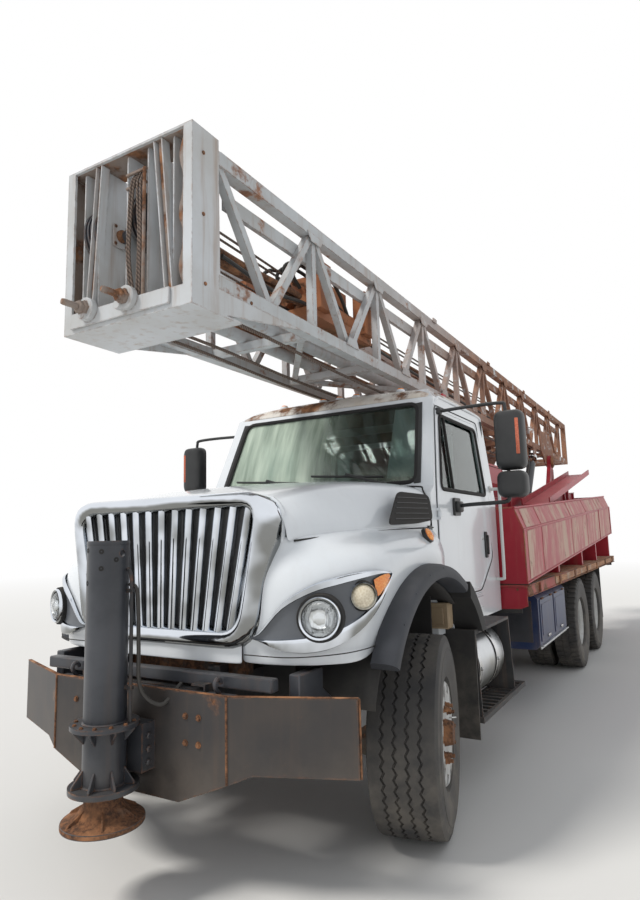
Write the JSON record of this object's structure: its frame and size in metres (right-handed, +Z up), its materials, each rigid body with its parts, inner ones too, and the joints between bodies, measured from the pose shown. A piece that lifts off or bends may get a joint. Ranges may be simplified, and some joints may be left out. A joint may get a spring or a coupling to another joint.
{
  "type": "truck-mounted drilling rig",
  "caption": "Drilling rig on a conventional truck: white cab, chrome grille, long lattice mast lying over the cab, red side bins, front and rear jacks.",
  "frame": {"origin": "on the ground below the middle of the overall box", "axes": "+Y runs rearward along the truck, +X to the driver's side, +Z up"},
  "size_m": [3.1, 11.107, 3.78],
  "materials": {
    "chassis_paint": "satin",
    "cab_paint": "gloss",
    "red_paint": "satin",
    "mast_paint": "satin",
    "rusty_steel": "matte",
    "jack_steel": "satin",
    "chrome": "polished",
    "wheel_paint": "gloss",
    "tyre_rubber": "matte",
    "black_plastic": "matte",
    "flare_plastic": "matte",
    "window_glass": "clear",
    "trim_vinyl": "matte",
    "tank_aluminium": "brushed",
    "deck_plank": "matte",
    "axle_iron": "matte",
    "box_paint": "satin",
    "flap_rubber": "matte",
    "cylinder_steel": "brushed"
  },
  "bodies": {
    "truck": {"frame_rails": "chassis_paint", "front_bumper": "jack_steel", "front_jack_housing": "jack_steel", "engine_block": "axle_iron", "front_axle": "axle_iron", "rear_axles": "axle_iron", "cab_shell": "cab_paint", "cab_glass": "window_glass", "cab_interior": "trim_vinyl", "fuel_tank": "tank_aluminium", "cab_steps": "tank_aluminium", "deck": "deck_plank", "bin_left": "red_paint", "bin_right": "red_paint", "mast_rest": "red_paint", "mast_tower": "red_paint", "power_unit": "red_paint", "winch_frame": "red_paint", "underdeck_boxes": "box_paint", "rear_jack_housings": "jack_steel", "mudflaps": "flap_rubber"},
    "hood": {"hood_shell": "cab_paint", "grille": "chrome", "grille_mesh": "black_plastic", "headlights": "chrome", "fender_flares": "flare_plastic"},
    "mast": {"mast_side_left": "mast_paint", "mast_side_right": "mast_paint", "mast_lacing": "mast_paint", "mast_feed": "rusty_steel", "crown_box": "mast_paint", "crown_sheaves": "rusty_steel"},
    "rotary_head": {"rotary_head": "rusty_steel"},
    "lift_barrels": {"lift_barrels": "red_paint"},
    "lift_rods": {"lift_rods": "cylinder_steel"},
    "winch_drum": {"winch_drum": "rusty_steel"},
    "front_jack_leg": {"front_jack_leg": "jack_steel"},
    "rear_jack_leg_left": {"rear_jack_leg_left": "jack_steel"},
    "door_left": {"door_left": "cab_paint", "door_glass_left": "window_glass", "mirror_left": "black_plastic"},
    "knuckle_left": {"knuckle_left": "axle_iron"},
    "wheel_front_left": {"tyre_front_left": "tyre_rubber", "rim_front_left": "wheel_paint"},
    "wheels_rear_1_left": {"tyres_rear_1_left": "tyre_rubber", "rims_rear_1_left": "wheel_paint"},
    "wheels_rear_2_left": {"tyres_rear_2_left": "tyre_rubber", "rims_rear_2_left": "wheel_paint"},
    "rear_jack_leg_right": {"rear_jack_leg_right": "jack_steel"},
    "door_right": {"door_right": "cab_paint", "door_glass_right": "window_glass", "mirror_right": "black_plastic"},
    "knuckle_right": {"knuckle_right": "axle_iron"},
    "wheel_front_right": {"tyre_front_right": "tyre_rubber", "rim_front_right": "wheel_paint"},
    "wheels_rear_1_right": {"tyres_rear_1_right": "tyre_rubber", "rims_rear_1_right": "wheel_paint"},
    "wheels_rear_2_right": {"tyres_rear_2_right": "tyre_rubber", "rims_rear_2_right": "wheel_paint"}
  },
  "joints": [
    {"name": "mast_raise", "type": "hinge", "parent": "truck", "child": "mast", "pos_m": [0, 3.4035, 2.79], "axis": [-1, 0, 0], "range_deg": [0, 90]},
    {"name": "lift_barrel_tilt", "type": "hinge", "parent": "truck", "child": "lift_barrels", "pos_m": [0, 1.2535, 1.39], "axis": [1, 0, 0], "range_deg": [-6, 6]},
    {"name": "lift_rod_extend", "type": "slide", "parent": "lift_barrels", "child": "lift_rods", "axis": [0, 0.6634, 0.7483], "range_m": [0, 1.2909]},
    {"name": "rotary_head_travel", "type": "slide", "parent": "mast", "child": "rotary_head", "axis": [0, 1, 0], "range_m": [0, 7]},
    {"name": "front_jack_extend", "type": "slide", "parent": "truck", "child": "front_jack_leg", "axis": [0, 0, -1], "range_m": [0, 0.75]},
    {"name": "winch_drum_turn", "type": "hinge", "parent": "truck", "child": "winch_drum", "pos_m": [0, 1.0535, 1.56], "axis": [1, 0, 0], "continuous": true},
    {"name": "hood_tilt", "type": "hinge", "parent": "truck", "child": "hood", "pos_m": [0, -4.9465, 0.99], "axis": [1, 0, 0], "range_deg": [0, 15]},
    {"name": "rear_jack_extend_left", "type": "slide", "parent": "truck", "child": "rear_jack_leg_left", "axis": [0, 0, -1], "range_m": [0, 0.6]},
    {"name": "door_open_left", "type": "hinge", "parent": "truck", "child": "door_left", "pos_m": [1.01, -3.3965, 1.45], "axis": [0, 0, -1], "range_deg": [0, 65]},
    {"name": "steer_left", "type": "hinge", "parent": "truck", "child": "knuckle_left", "pos_m": [0.9, -4.0465, 0.535], "axis": [0, 0, 1], "range_deg": [-45, 19]},
    {"name": "spin_front_left", "type": "hinge", "parent": "knuckle_left", "child": "wheel_front_left", "pos_m": [1.03154, -4.01613, 0.535], "axis": [0.9744, 0.225, 0], "continuous": true},
    {"name": "spin_rear_1_left", "type": "hinge", "parent": "truck", "child": "wheels_rear_1_left", "pos_m": [0.92, 0.9535, 0.535], "axis": [1, 0, 0], "continuous": true},
    {"name": "spin_rear_2_left", "type": "hinge", "parent": "truck", "child": "wheels_rear_2_left", "pos_m": [0.92, 2.3235, 0.535], "axis": [1, 0, 0], "continuous": true},
    {"name": "rear_jack_extend_right", "type": "slide", "parent": "truck", "child": "rear_jack_leg_right", "axis": [0, 0, -1], "range_m": [0, 0.6]},
    {"name": "door_open_right", "type": "hinge", "parent": "truck", "child": "door_right", "pos_m": [-1.01, -3.3965, 1.45], "axis": [0, 0, 1], "range_deg": [0, 65]},
    {"name": "steer_right", "type": "hinge", "parent": "truck", "child": "knuckle_right", "pos_m": [-0.9, -4.0465, 0.535], "axis": [0, 0, 1], "range_deg": [-45, 19]},
    {"name": "spin_front_right", "type": "hinge", "parent": "knuckle_right", "child": "wheel_front_right", "pos_m": [-1.03154, -4.07687, 0.535], "axis": [0.9744, 0.225, 0], "continuous": true},
    {"name": "spin_rear_1_right", "type": "hinge", "parent": "truck", "child": "wheels_rear_1_right", "pos_m": [-0.92, 0.9535, 0.535], "axis": [1, 0, 0], "continuous": true},
    {"name": "spin_rear_2_right", "type": "hinge", "parent": "truck", "child": "wheels_rear_2_right", "pos_m": [-0.92, 2.3235, 0.535], "axis": [1, 0, 0], "continuous": true}
  ],
  "couplings": [
    {"joint": "lift_barrel_tilt", "follows": "mast_raise", "ratio": -0.01827},
    {"joint": "lift_rod_extend", "follows": "mast_raise", "m_per_rad": 0.80911},
    {"joint": "steer_right", "follows": "steer_left", "ratio": 1}
  ]
}
